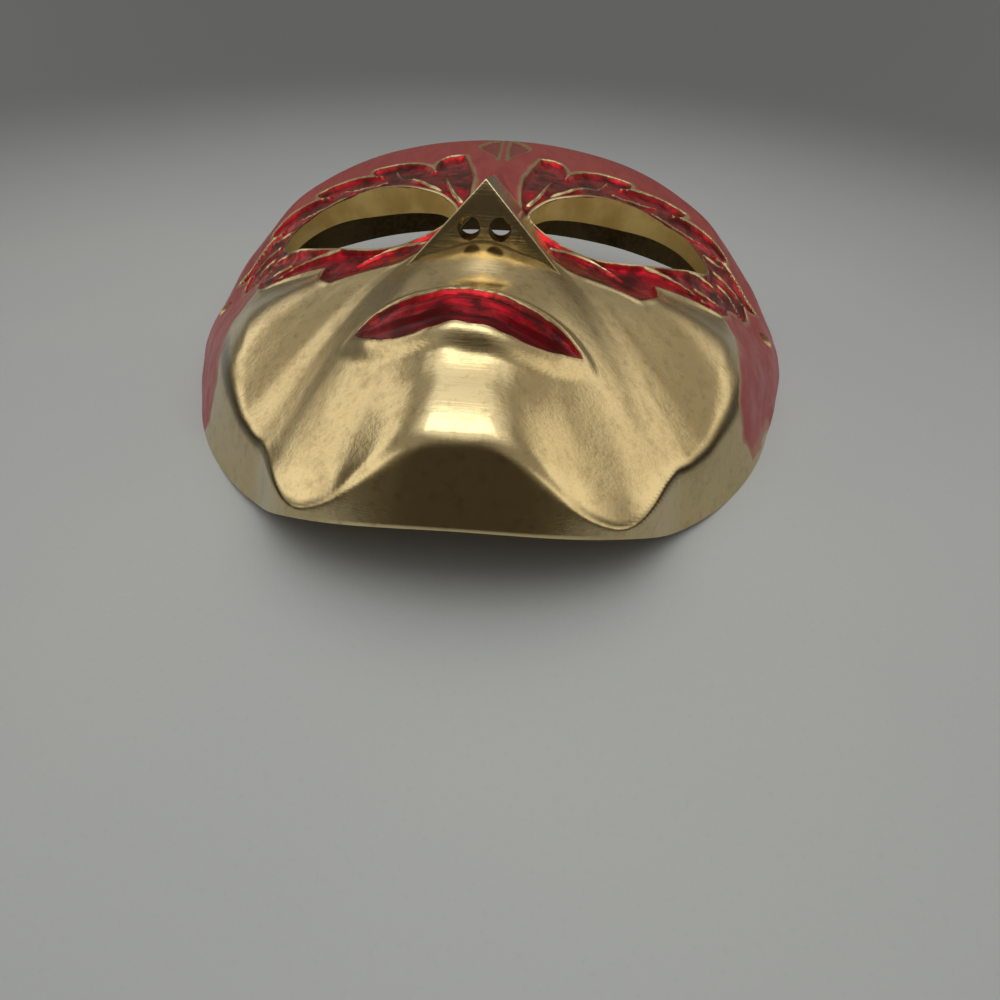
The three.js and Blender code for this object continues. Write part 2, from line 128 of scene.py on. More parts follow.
LEAF_REACH = (78, -26, 54)  # no leaf is further out than the first, or outside this stretch of y
LID_UPPER = 0.7  # width of the plain metal left round the eye, above and below
LID_LOWER = 0.3
EYE_TILT = 0.27  # rise of the line between the eye's corners, per millimetre outwards
FAR = 50.0  # stands for any distance too long to matter

PINK_EDGE = [(-20, 100), (100, 100), (100, -11), (69.5, -14.6), (62.5, -30), (58, -31), (56.6, -26),
             (58.2, -12), (59.8, -2.5), (56.7, 3), (52, 8), (30, 15), (8, -6), (-20, -6)]
PINK_LEFT = 3.0  # how much further out its edge runs on the left
PAINT_INSET = 0.25  # how far inside an outline its paint starts

MOUTH_TURN = -6.0  # degrees, about the middle of the mouth
MOUTH_MID = (-1.6, -46)
MOUTH_HALF = 22.0
MOUTH_CORNER_Y = -43.2
MOUTH_REACH = (MOUTH_HALF + 8, -62, -32)
LIPS_TOP = [(-20, -39.4, -9, -43.4, 0, -41.2), (9, -43.4, 20, -39.4, MOUTH_HALF, MOUTH_CORNER_Y)]
LIPS_PART = [(-10, -48.4, 0, -48.2), (10, -48.4, MOUTH_HALF, MOUTH_CORNER_Y)]
LIPS_BOTTOM = [(13, -54, 0, -52.6), (-13, -54, -MOUTH_HALF, MOUTH_CORNER_Y)]
LIP_RISE = 1.2  # of the raised edge round the mouth
LIP_SINK = 0.8
LIP_CROWN = 0.9
LIP_STEPS = 12
CORNER_FADE = (17, 23)  # the raised edge sinks between these distances from the mouth's middle
PHILTRUM_RISE = 2.2
PHILTRUM_HALF = 8.0
PHILTRUM_STARTS = (-36, -24)  # stretches of y over which it comes and goes
PHILTRUM_ENDS = (-21, -14)
UNDER_LIP = (1.5, 11.0, 1.5)  # middle x, half width and depth of the hollow under the lower lip
UNDER_LIP_STARTS = (-70, -56)
UNDER_LIP_ENDS = (-50, -47)
CAST_WAVES = [(0.05, 16, 3), (0.02, 6, 4)]  # rise, size and seed of the casting's unevenness

# Forehead emblem: its ends by y, half its width, half the bar between its halves, and its depth
EMBLEM_TIP = 43.6
EMBLEM_END = 74.0
EMBLEM_HALF = 7.5
EMBLEM_RIB = 1.1
EMBLEM_SINK = 0.7

# Polish and painted shade: stretches of y, x, rim share, angle or gap in which one changes to the other
BELL_ENDS = (-71, -66)
BELL_SIDES = (20, 28)
POLISHED_RIM = (0.9, 0.94)
PLAIN_RIM = (0.965, 0.995)
# The painted shade on the jaw runs between these angles, is this strong on the side wall, and is full over
# this gap.
PAINTED_SHADE_STARTS = (-78, -71)
PAINTED_SHADE_ENDS = (-18, -4)
WALL_PAINTED_SHADE = 0.3
CREASE_STARTS = (0.1, 0.6)
CREASE_ENDS = (1.2, 3)

# Mesh fineness
RIM_TRIM = 0.05  # the front's edge lies this far inside the rim
TURN_STEPS = 560
FRONT_RINGS = 150
BACK_STEPS = 180
BACK_RINGS = 26
SLOPE_SHARE = 0.8  # how far a change of height counts as length along a spoke
HUB_CALM = (4, 14)  # the rings lie wider inside this distance from the hub
HUB_SHARE = 0.35
PROFILE_STEPS = 500
CROWD_STEPS = 4001
SAME_HEIGHT = 0.001
UNDERSIDE_SHARE = 0.85  # where the flat underside of a body has its ring
BAR_SIDES = 40
WAVES = 9
SHARP_FROM = 34  # degrees between faces


# Curves and distances

def curve(points, place):
    """Smooth curve through (place, value) points, level at each turning point and at both ends."""
    xs = np.array([p[0] for p in points], float)
    vs = np.array([p[1] for p in points], float)
    secant = np.diff(vs) / np.diff(xs)
    slope = np.zeros(len(xs))
    same = secant[:-1] * secant[1:] > 0
    slope[1:-1][same] = (2 * secant[:-1] * secant[1:])[same] / (secant[:-1] + secant[1:])[same]
    at = np.clip(place, xs[0], xs[-1])
    i = np.clip(np.searchsorted(xs, at, side="right") - 1, 0, len(xs) - 2)
    h = (xs[1:] - xs[:-1])[i]
    u = (at - xs[i]) / h
    rise = vs[i] * (1 + 2 * u) * (1 - u) ** 2 + vs[i + 1] * u * u * (3 - 2 * u)
    return rise + h * slope[i] * u * (1 - u) ** 2 + h * slope[i + 1] * u * u * (u - 1)


def ease(low, high, value):
    """Runs smoothly from 0 at low to 1 at high."""
    t = np.clip((value - low) / (high - low), 0, 1)
    return t * t * (3 - 2 * t)


def rounded_lower(a, b, rounding):
    """The lower of two heights, with a soft change from one to the other."""
    h = np.clip(0.5 + 0.5 * (b - a) / rounding, 0, 1)
    return b * (1 - h) + a * h - rounding * h * (1 - h)


def arcs(start, chain, steps=7):
    """Points of a chain of quadratic or cubic arcs, without the last point."""
    points = [np.array(start, float)]
    for arc in chain:
        first = points[-1]
        pulls = np.array(arc, float).reshape(-1, 2)
        for t in np.arange(1, steps + 1) / steps:
            if len(pulls) == 2:
                point = (1 - t) ** 2 * first + 2 * t * (1 - t) * pulls[0] + t * t * pulls[1]
            else:
                point = ((1 - t) ** 3 * first + 3 * t * (1 - t) ** 2 * pulls[0]
                         + 3 * t * t * (1 - t) * pulls[1] + t ** 3 * pulls[2])
            points.append(point)
    return np.array(points)


def line_distance(x, y, points):
    """Distance to an open line, and the share of the line at its nearest point."""
    nearest = np.full(np.shape(x), np.inf)
    share = np.zeros(np.shape(x))
    count = len(points) - 1
    for i in range(count):
        (ax, ay), (bx, by) = points[i], points[i + 1]
        length = (bx - ax) ** 2 + (by - ay) ** 2
        t = np.clip(((x - ax) * (bx - ax) + (y - ay) * (by - ay)) / max(length, 1e-12), 0, 1)
        away = np.hypot(x - ax - t * (bx - ax), y - ay - t * (by - ay))
        closer = away < nearest
        nearest = np.where(closer, away, nearest)
        share = np.where(closer, (i + t) / count, share)
    return nearest, share


def inside_by(x, y, points):
    """Signed distance to a closed outline, positive inside."""
    closed = np.vstack([points, points[:1]])
    away, _ = line_distance(x, y, closed)
    inside = np.zeros(np.shape(x), bool)
    for (ax, ay), (bx, by) in zip(closed[:-1], closed[1:]):
        crosses = (ay > y) != (by > y)
        reach = ax + (y - ay) * (bx - ax) / (by - ay if by != ay else 1e-12)
        inside ^= crosses & (x < reach)
    return np.where(inside, away, -away)


def smooth_loop(points, steps=8):
    """A smooth closed curve through the points, with tangents set by their spacing."""
    p = np.array(points, float)
    out = []
    for i in range(len(p)):
        quad = [p[(i + k - 1) % len(p)] for k in range(4)]
        gaps = [np.linalg.norm(quad[k + 1] - quad[k]) ** 0.5 for k in range(3)]
        t = np.concatenate([[0], np.cumsum(gaps)])
        for s in np.arange(steps) / steps:
            at = t[1] + s * (t[2] - t[1])
            a = [quad[k] + (at - t[k]) / (t[k + 1] - t[k]) * (quad[k + 1] - quad[k]) for k in range(3)]
            b = [a[k] + (at - t[k]) / (t[k + 2] - t[k]) * (a[k + 1] - a[k]) for k in range(2)]
            out.append(b[0] + (at - t[1]) / (t[2] - t[1]) * (b[1] - b[0]))
    return np.array(out)


def wander(x, y, size, seed):
    """Smooth random unevenness between -1 and 1, with features about size across."""
    rng = np.random.default_rng(seed)
    total = np.zeros(np.shape(x))
    for _ in range(WAVES):
        angle = rng.uniform(0, 2 * math.pi)
        phase = rng.uniform(0, 2 * math.pi)
        length = size * rng.uniform(0.7, 1.5)
        along = x * math.cos(angle) + y * math.sin(angle)
        total = total + np.sin(along * 2 * math.pi / length + phase)
    return total / WAVES


# The casting's surfaces

RIM_ANGLE = [math.degrees(math.atan2(p[1] - HUB_Y, p[0])) for p in RIM]
RIM_RADIUS = [(a, math.hypot(p[0], p[1] - HUB_Y)) for a, p in zip(RIM_ANGLE, RIM)]
RIM_HEIGHT = [(a, p[2]) for a, p in zip(RIM_ANGLE, RIM)]
EYE_LINE = smooth_loop(EYE)
LEAF_LINE = arcs(LEAF_START, LEAF_EDGE)[:-1]
RIB_LINES = [arcs(rib[:2], [rib[2:]], 9) for rib in RIBS]
MOUTH_START = (-MOUTH_HALF, MOUTH_CORNER_Y)


def side_angle(x, y):
    """The angle round the hub in degrees, the same on both sides."""
    return np.degrees(np.arctan2(y - HUB_Y, np.abs(x)))


def swell(x, y, cx, cy, across, along, rise, tilt):
    """A soft rise at each side of the face."""
    turn = math.radians(tilt)
    dx, dy = np.abs(x) - cx, y - cy
    u = (dx * math.cos(turn) + dy * math.sin(turn)) / across
    v = (-dx * math.sin(turn) + dy * math.cos(turn)) / along
    return rise * np.exp(-(u * u + v * v))


def jaw_height(angle, away):
    """The slope of jaw and cheek outside the mouth, by the angle and distance from the hub."""
    near, far = curve(JAW_NEAR, angle), curve(JAW_FAR, angle)
    return near + (far - near) * (away - JAW_REACH[0]) / (JAW_REACH[1] - JAW_REACH[0])


def meet_wall(x, y, height, drop, inset):
    """A face height brought down to the jaw and then to the side wall, on the front or the back."""
    angle, away = side_angle(x, y), np.hypot(x, y - HUB_Y)
    height = rounded_lower(height, jaw_height(angle, away) - drop, curve(JAW_ROUND, angle))
    inward = curve(RIM_RADIUS, angle) - inset - away
    edge = curve(RIM_HEIGHT, angle)
    wall = edge + curve(WALL_SLOPE, angle) * inward
    rounding = curve(WALL_ROUND, angle) * np.clip(inward / ROUND_REACH, LEAST_ROUND, 1)
    met = rounded_lower(height, wall, rounding)
    return np.where(inward > 0, np.maximum(met, edge), met)


def plain_height(x, y, swells, drop, inset):
    """The face without ornament. The back is the same, dropped by the wall and set in at the rim."""
    away, share = line_distance(np.abs(x), y, FOLD)
    height = curve(MIDLINE, y) - curve(SIDE_FALL, y) * x * x - drop
    height = height + sum(swell(x, y, *part) for part in swells)
    height = height - curve(FOLD_DEPTH, share) * np.exp(-(away / FOLD_WIDTH) ** 2)
    return meet_wall(x, y, height, drop, inset)


def front_height(x, y):
    return plain_height(x, y, (BROW, SOCKET, CHEEK, LIP_HOLLOW), 0, 0)


def back_height(x, y):
    return plain_height(x, y, (SOCKET, CHEEK, LIP_HOLLOW), WALL, RIM_WALL)


def mouth_turned(x, y):
    """Plan places turned back to where the mouth is level."""
    turn = math.radians(-MOUTH_TURN)
    dx, dy = x - MOUTH_MID[0], y - MOUTH_MID[1]
    along = dx * math.cos(turn) - dy * math.sin(turn)
    up = dx * math.sin(turn) + dy * math.cos(turn)
    return along, MOUTH_MID[1] + up


def reversed_chain(start, chain):
    """The same arcs run backwards from their end."""
    ends = [tuple(start)] + [arc[-2:] for arc in chain]
    return [tuple(arc[:2]) + tuple(ends[i]) for i, arc in reversed(list(enumerate(chain)))]


def within(x, y, reach):
    side, low, high = reach
    return (np.abs(x) < side) & (y > low) & (y < high)


def lip_depths(x, y):
    """Signed distances into the whole mouth, the upper lip and the lower lip."""
    u, v = mouth_turned(x, y)
    whole = LIPS_TOP + LIPS_BOTTOM
    upper = LIPS_TOP + reversed_chain(MOUTH_START, LIPS_PART)
    lower = LIPS_PART + LIPS_BOTTOM
    near = within(u, v, MOUTH_REACH)
    depths = []
    for chain in (whole, upper, lower):
        depth = np.full(np.shape(x), -FAR)
        depth[near] = inside_by(u[near], v[near], arcs(MOUTH_START, chain, LIP_STEPS)[:-1])
        depths.append(depth)
    return depths


def leaf_fields(x, y):
    """Signed distances in plan: into the leaf area, out of the eye, and how far a rib stands there."""
    ax = np.abs(x)
    near = within(x, y, LEAF_REACH)
    leaf = np.full(np.shape(x), -FAR)
    eye = np.full(np.shape(x), FAR)
    rib = np.zeros(np.shape(x))
    leaf[near] = inside_by(ax[near], y[near], LEAF_LINE)
    eye[near] = -inside_by(ax[near], y[near], EYE_LINE)
    for line in RIB_LINES:
        away, share = line_distance(ax[near], y[near], line)
        half = RIB_HALF * (1 - RIB_TAPER * share)
        rib[near] = np.maximum(rib[near], np.exp(-(away / half) ** 2) * (1 - 0.5 * share ** 3))
    return leaf, eye, rib


def emblem_depth(x, y):
    """Signed distance into either half of the forehead emblem."""
    length = EMBLEM_END - EMBLEM_TIP
    widens = ease(0, 0.5, (y - EMBLEM_TIP) / length)
    narrows = ease(0.4, 1, (y - EMBLEM_TIP) / length)
    half = EMBLEM_RIB + (EMBLEM_HALF - EMBLEM_RIB) * widens * (1 - narrows)
    ax = np.abs(x)
    return np.minimum(np.minimum(ax - EMBLEM_RIB, half - ax), y - EMBLEM_TIP - 1)


def lid_width(x, y):
    """Plain metal left round the eye: wide along the upper edge, thin along the lower lid."""
    above = y - (EYE[0][1] + (np.abs(x) - EYE[0][0]) * EYE_TILT)
    return LID_LOWER + (LID_UPPER - LID_LOWER) * ease(-2, 4, above)


def jaw_painted_shade(x, y):
    """Painted shade for dark reflections: some on the side wall under the jaw, full on the line where the jaw
    turns down to it.
    """
    angle = side_angle(x, y)
    inward = curve(RIM_RADIUS, angle) - np.hypot(x, y - HUB_Y)
    gap = curve(RIM_HEIGHT, angle) + curve(WALL_SLOPE, angle) * inward - front_height(x, y)
    along = ease(*PAINTED_SHADE_STARTS, angle) * (1 - ease(*PAINTED_SHADE_ENDS, angle))
    crease_shade = WALL_PAINTED_SHADE + (1 - WALL_PAINTED_SHADE) * ease(*CREASE_STARTS, gap)
    return along * crease_shade * (1 - ease(*CREASE_ENDS, gap))


def rim_share(x, y):
    """Distance from the hub as a share of the rim's distance that way."""
    return np.hypot(x, y - HUB_Y) / curve(RIM_RADIUS, side_angle(x, y))


def leaf_relief(x, y, leaf, ground, eye, rib):
    """Height of the sunk leaves with their ribs, and of the metal that stands up along their edge."""
    sunk = ease(-0.1, 1.1, ground)
    relief = -LEAF_SINK * sunk + RIB_RISE * rib * sunk
    for rise, size, seed in LEAF_FOLDS:
        relief += sunk * rise * wander(np.abs(x), y, size, seed)
    beside_eye = ease(2.5, 5, eye)
    beside_nose = ease(9, 14, np.abs(x) + np.maximum(y, 0) * 0.25)
    edge = np.exp(-((leaf - LEAF_LIP_MID) / LEAF_LIP_HALF) ** 2)
    return relief + LEAF_LIP * edge * beside_eye * beside_nose


def mouth_relief(x, y, whole, lips):
    """Height of the lips, of the raised edge round them and of the rise above and hollow below."""
    corner = ease(*CORNER_FADE, np.abs(x - MOUTH_MID[0]))
    relief = LIP_RISE * ease(-3.2, -0.6, whole) * (1 - 0.6 * corner)
    relief -= LIP_SINK * ease(-0.1, 0.9, lips)
    relief += LIP_CROWN * ease(0.5, 4.5, lips)
    philtrum = np.exp(-(x / PHILTRUM_HALF) ** 2)
    philtrum = philtrum * ease(*PHILTRUM_STARTS, y) * (1 - ease(*PHILTRUM_ENDS, y))
    middle, half, deep = UNDER_LIP
    hollow = np.exp(-((x - middle) / half) ** 2) * ease(0.2, 3.2, -whole)
    hollow = hollow * ease(*UNDER_LIP_STARTS, y) * (1 - ease(*UNDER_LIP_ENDS, y))
    return relief + PHILTRUM_RISE * philtrum - deep * hollow


def ornament(x, y):
    """The fine relief at each point, in millimetres, and the paint fields that go with it."""
    leaf, eye, rib = leaf_fields(x, y)
    ground = np.minimum(leaf, eye - lid_width(x, y))
    whole, upper, lower = lip_depths(x, y)
    emblem = emblem_depth(x, y)
    relief = leaf_relief(x, y, leaf, ground, eye, rib)
    relief += mouth_relief(x, y, whole, np.maximum(upper, lower) - PAINT_INSET)
    relief -= EMBLEM_SINK * ease(0, 0.9, emblem)
    for rise, size, seed in CAST_WAVES:
        relief += rise * wander(x, y, size, seed)

    pink = inside_by(np.where(x < 0, -x - PINK_LEFT, x), y, np.array(PINK_EDGE, float))
    pink = np.minimum(pink, np.minimum(-leaf - PAINT_INSET, eye - 1))
    red = np.maximum(np.minimum(ground - 0.05, (RIB_BARE - rib) * 1.2), whole - PAINT_INSET)
    # Where the lower lip lies, for the painted shade on it.
    shaded_lower_lip = np.where(whole > -1, lower - upper, -9)
    bell = (1 - ease(*BELL_ENDS, y)) * (1 - ease(*BELL_SIDES, np.abs(x)))
    wall = ease(*POLISHED_RIM, rim_share(x, y))
    return relief, {"red": red, "pink": pink, "emblem": emblem, "shaded_lower_lip": shaded_lower_lip, "eye": eye,
                    "satin": 1 - np.maximum(bell, wall), "crease_shade": jaw_painted_shade(x, y)}


def carved_height(x, y):
    """The front with its ornament, which dies away at the rim."""
    relief, _ = ornament(x, y)
    return front_height(x, y) + relief * (1 - ease(*PLAIN_RIM, rim_share(x, y)))


# Meshes

def make_object(name, points, faces):
    mesh = bpy.data.meshes.new(name)
    mesh.from_pydata(np.asarray(points, float) * MM, [], faces)
    mesh.validate()
    mesh.update()
    obj = bpy.data.objects.new(name, mesh)
    bpy.context.scene.collection.objects.link(obj)
    return obj


def side_turns(turn):
    """The angles round the hub in degrees, the same on both sides, of turns in radians."""
    return np.degrees(np.arctan2(np.sin(turn), np.abs(np.cos(turn))))


def crowded_turns(steps, crowd):
    """Turns round the hub that lie closer together where the crowd function is higher."""
    fine = np.linspace(0, 2 * math.pi, CROWD_STEPS)
    density = crowd(side_turns(fine))
    total = np.concatenate([[0], np.cumsum((density[1:] + density[:-1]) / 2)])
    return np.interp(np.arange(steps) / steps * total[-1], total, fine)


def ring_shares(height, radius, turn, rings):
    """Where each spoke meets the rings, as shares of its length, set evenly along the surface."""
    share = np.linspace(0, 1, PROFILE_STEPS)
    reach = radius[:, None] * share[None, :]
    level = height(reach * np.cos(turn)[:, None], HUB_Y + reach * np.sin(turn)[:, None])
    run = np.hypot(np.diff(reach, axis=1), np.diff(level, axis=1) * SLOPE_SHARE)
    run = run * (HUB_SHARE + (1 - HUB_SHARE) * ease(*HUB_CALM, reach[:, 1:]))
    run = np.concatenate([np.zeros((len(turn), 1)), np.cumsum(run, axis=1)], axis=1)
    stops = np.arange(1, rings + 1) / rings
    shares = np.array([np.interp(stops * spoke[-1], spoke, share) for spoke in run])
    shares[:, -1] = 1
    return shares


def body_under(name, height, steps, rings, inset, bottom_at, crowd=None):
    """A closed body under a height function, on spokes and rings round the hub."""
    turn = crowded_turns(steps, crowd) if crowd else np.arange(steps) * 2 * math.pi / steps
    angle = side_turns(turn)
    radius = curve(RIM_RADIUS, angle) - inset
    shares = ring_shares(height, radius, turn, rings)
    x = radius[:, None] * shares * np.cos(turn)[:, None]
    y = HUB_Y + radius[:, None] * shares * np.sin(turn)[:, None]
    z = height(x, y)
    loops = [np.stack([x[:, j], y[:, j], z[:, j]], -1) for j in range(rings)]
    bottom = bottom_at(angle)
    if np.abs(bottom - z[:, -1]).max() > SAME_HEIGHT:
        loops.append(np.stack([radius * np.cos(turn), HUB_Y + radius * np.sin(turn), bottom], -1))
    inner = radius * UNDERSIDE_SHARE
    loops.append(np.stack([inner * np.cos(turn), HUB_Y + inner * np.sin(turn), bottom], -1))
    hub = height(np.zeros(1), np.full(1, HUB_Y))[0]
    points = np.vstack([[[0, HUB_Y, hub]]] + loops + [[[0, HUB_Y, float(np.mean(bottom))]]])
    a = np.arange(steps)
    b = (a + 1) % steps
    faces = [(0, 1 + i, 1 + j) for i, j in zip(a, b)]
    for k in range(len(loops) - 1):
        top, low = 1 + k * steps, 1 + (k + 1) * steps
        faces += [(top + i, low + i, low + j, top + j) for i, j in zip(a, b)]
    last = 1 + (len(loops) - 1) * steps
    faces += [(len(points) - 1, last + j, last + i) for i, j in zip(a, b)]
    return make_object(name, points, faces)


def prism(name, outline, low=FLOOR_Z, high=SKY_Z):
    n = len(outline)
    points = [(x, y, low) for x, y in outline] + [(x, y, high) for x, y in outline]
    faces = [tuple(range(n - 1, -1, -1)), tuple(range(n, 2 * n))]
    faces += [(i, (i + 1) % n, n + (i + 1) % n, n + i) for i in range(n)]
    obj = make_object(name, points, faces)
    if signed_area(outline) < 0:
        obj.data.flip_normals()
    return obj


def signed_area(outline):
    p = np.asarray(outline, float)
    q = np.roll(p, -1, axis=0)
    return 0.5 * np.sum(p[:, 0] * q[:, 1] - q[:, 0] * p[:, 1])


def round_bar(name, radius, centre, axis, length):
    turn = np.arange(BAR_SIDES) * 2 * math.pi / BAR_SIDES
    ring = np.stack([radius * np.cos(turn), radius * np.sin(turn)], -1)
    obj = prism(name, ring, -length / 2, length / 2)
    way = Vector((0, 0, 1)).rotation_difference(Vector(axis)).to_matrix().to_4x4()
    obj.data.transform(Matrix.Translation(Vector(centre) * MM) @ way)
    return obj


def nose_body(name, drop, inset, bevel):
    """The nose pyramid, or its hollow: dropped by the wall, set back from its underside and open below."""
    root = NOSE_TIP.lerp(NOSE_ROOT, NOSE_RUN)
    back = inset / (root.y - NOSE_TIP.y)
    tip = NOSE_TIP.lerp(root, back)
    wing = NOSE_TIP.lerp(NOSE_WING, NOSE_SPREAD).lerp(root, back)
    top = [tip, wing, root, Vector((-wing.x, wing.y, wing.z))]
    points = [(p.x, p.y, p.z - drop) for p in top]
    base = FLOOR_Z if drop > 0 else NOSE_WING.z - NOSE_SINK
    points += [(p.x, p.y, base) for p in (wing, root, top[3])]
    faces = [(0, 1, 2), (0, 2, 3), (0, 3, 1), (3, 6, 4, 1), (1, 4, 5, 2), (2, 5, 6, 3), (4, 6, 5)]
    obj = make_object(name, points, faces)
    if bevel:
        shape = obj.modifiers.new("soft edges", "BEVEL")
        shape.width = bevel * MM
        shape.segments = BEVEL_STEPS
        shape.limit_method = "ANGLE"
        apply_modifiers(obj)
    return obj


def apply_modifiers(obj):
    bpy.context.view_layer.update()
    graph = bpy.context.evaluated_depsgraph_get()
    mesh = bpy.data.meshes.new_from_object(obj.evaluated_get(graph))
    obj.modifiers.clear()
    old = obj.data
    obj.data = mesh
    bpy.data.meshes.remove(old)


def combine(target, tool, how):
    """Joins or cuts two closed bodies, and removes the second."""
    step = target.modifiers.new("solid", "BOOLEAN")
    step.operation = how
    step.solver = "MANIFOLD"
    step.object = tool
    apply_modifiers(target)
    bpy.data.objects.remove(tool)


def leaf_crowd(angle):
    """Sets the facets closer together round the leaves and the mouth."""
    return 0.75 + 0.55 * np.exp(-((angle - 22) / 38) ** 2) + 0.35 * np.exp(-((angle + 90) / 22) ** 2)


def rim_level(angle):
    return curve(RIM_HEIGHT, angle)


def floor_level(angle):
    return np.full(np.shape(angle), FLOOR_Z)


def build_casting():
    """The front and the nose in one, hollowed from behind, with its openings cut."""
    casting = body_under("brass_mask_cast", carved_height, TURN_STEPS, FRONT_RINGS, RIM_TRIM, rim_level,
                         leaf_crowd)
    combine(casting, nose_body("nose", 0, 0, NOSE_BEVEL), "UNION")
    hollow = body_under("hollow", back_height, BACK_STEPS, BACK_RINGS, RIM_WALL - HOLLOW_OVERLAP, floor_level)
    combine(hollow, nose_body("nose_hollow", NOSE_WALL / NOSE_STEEP, NOSE_WALL, 0), "UNION")
    combine(casting, hollow, "DIFFERENCE")
    x, z, radius = NOSTRIL
    for side in (1, -1):
        combine(casting, prism("eye", [(side * px, py) for px, py in EYE_LINE]), "DIFFERENCE")
        nostril = round_bar("nostril", radius, (side * x, NOSE_TIP.y, z), (0, 1, 0), NOSTRIL_LENGTH)
        combine(casting, nostril, "DIFFERENCE")
    y, z, radius = TIE_HOLE
    combine(casting, round_bar("ties", radius, (0, y, z), (1, 0, 0), TIE_BAR_LENGTH), "DIFFERENCE")
    return casting


# Surface fields and finishes of the casting

def set_field(mesh, name, values):
    layer = mesh.attributes.new(name, "FLOAT", "POINT")
    layer.data.foreach_set("value", np.asarray(values, np.float32))


def mesh_points(mesh):
    points = np.zeros(len(mesh.vertices) * 3)
    mesh.vertices.foreach_get("co", points)
    return points.reshape(-1, 3) / MM


def face_values(mesh, what):
    values = np.zeros(len(mesh.polygons) * 3)
    mesh.polygons.foreach_get(what, values)
    return values.reshape(-1, 3)


def dress(casting):
    """Writes the paint fields on the points and picks a finish for each face."""
    mesh = casting.data
    x, y, z = mesh_points(mesh).T
    _, fields = ornament(x, y)
    on_nose = (z > front_height(x, y) + NOSE_PROUD) & (y > NOSE_WING.y - 1) & (y < NOSE_ROOT.y + 8)
    for name in ("red", "pink"):
        fields[name] = np.where(on_nose, -5, fields[name])
    fields["depth"] = carved_height(x, y) - z
    for name, values in fields.items():
        set_field(mesh, name, values)

    x, y, z = (face_values(mesh, "center") / MM).T
    _, north, up = face_values(mesh, "normal").T
    _, fields = ornament(x, y)
    below = carved_height(x, y) - z
    on_eye_edge = np.abs(fields["eye"]) < 0.2
    inside_nostril = (north > 0.9) & (up < 0.1)
    front = (below < 0.12) & (up > -0.02) & ~inside_nostril
    under_rim = (up < -0.9) & (np.hypot(x, y - HUB_Y) > curve(RIM_RADIUS, side_angle(x, y)) - RIM_WALL)
    finish = np.full(len(x), FINISHES.index(raw_finish))
    finish[front] = FINISHES.index(face_finish)
    finish[front & (fields["red"] > -0.4) & (below > -NOSE_PROUD)] = FINISHES.index(lacquer_finish)
    finish[~front & on_eye_edge & (np.abs(up) < 0.3)] = FINISHES.index(eye_edge_finish)
    finish[under_rim & ~on_eye_edge] = FINISHES.index(raw_finish)
    mesh.polygons.foreach_set("material_index", finish.astype(np.int32))


# Node materials

class Nodes:
    """Short calls for building a node tree."""

    def __init__(self, tree, place):
        """The place is the output of texture coordinates that the patterns follow."""
        self.tree = tree
        self.place = self.add("ShaderNodeTexCoord").outputs[place]

    def add(self, kind, **settings):
        node = self.tree.nodes.new(kind)
        for name, value in settings.items():
            setattr(node, name, value)
        return node

    def feed(self, socket, value):
        if isinstance(value, bpy.types.NodeSocket):
            self.tree.links.new(value, socket)
        else:
            socket.default_value = value

    def math(self, operation, *values):
        node = self.add("ShaderNodeMath", operation=operation)
        for socket, value in zip(node.inputs, values):
            self.feed(socket, value)
        return node.outputs[0]

    def blend(self, share, first, second, kind="RGBA"):
        node = self.add("ShaderNodeMix", data_type=kind)
        a, b, out = (6, 7, 2) if kind == "RGBA" else (2, 3, 0)
        for socket, value in ((node.inputs[0], share), (node.inputs[a], first), (node.inputs[b], second)):
            self.feed(socket, (*value, 1) if isinstance(value, tuple) else value)
        return node.outputs[out]

    def ramp(self, value, low, high, to_low=0.0, to_high=1.0):
        """A smooth change from one number to another while the value goes from low to high."""
        node = self.add("ShaderNodeMapRange", interpolation_type="SMOOTHSTEP")
        for socket, number in zip(node.inputs, (value, low, high, to_low, to_high)):
            self.feed(socket, number)
        return node.outputs[0]

    def field(self, name):
        """One of the numbers that dress() writes on the mesh."""
        return self.add("ShaderNodeAttribute", attribute_name=name).outputs["Fac"]

    def noise(self, scale, detail=2.0, stretch=(1, 1, 1), turn=(0, 0, 0), roughness=0.5):
        """Smooth noise with about scale features to a metre, and longer ones where stretch is below 1."""
        shift = self.add("ShaderNodeMapping")
        self.feed(shift.inputs["Vector"], self.place)
        shift.inputs["Rotation"].default_value = [math.radians(a) for a in turn]
        shift.inputs["Scale"].default_value = stretch
        node = self.add("ShaderNodeTexNoise")
        self.feed(node.inputs["Vector"], shift.outputs[0])
        for name, value in (("Scale", scale), ("Detail", detail), ("Roughness", roughness)):
            node.inputs[name].default_value = value
        return node.outputs[0]

    def bump(self, height, distance, strength=1.0, normal=None):
        """A normal from a pattern that stands distance metres high."""
        node = self.add("ShaderNodeBump")
        self.feed(node.inputs["Height"], height)
        node.inputs["Distance"].default_value = distance
        node.inputs["Strength"].default_value = strength
        if normal is not None:
            self.feed(node.inputs["Normal"], normal)
        return node.outputs[0]


class Paint(Nodes):
    """One material on the Principled shader."""

    def __init__(self, name, coat=0.0, coat_roughness=0.05, specular=0.5):
        self.material = bpy.data.materials.new(name)
        self.material.use_nodes = True
        super().__init__(self.material.node_tree, "Object")
        self.skin = self.tree.nodes["Principled BSDF"]
        for socket, value in (("Coat Weight", coat), ("Coat Roughness", coat_roughness),
                              ("Specular IOR Level", specular)):
            self.skin.inputs[socket].default_value = value

    def finish(self, colour, metallic, roughness, normal):
        for name, value in (("Base Color", colour), ("Metallic", metallic), ("Roughness", roughness),
                            ("Normal", normal)):
            self.feed(self.skin.inputs[name], value)
        return self.material


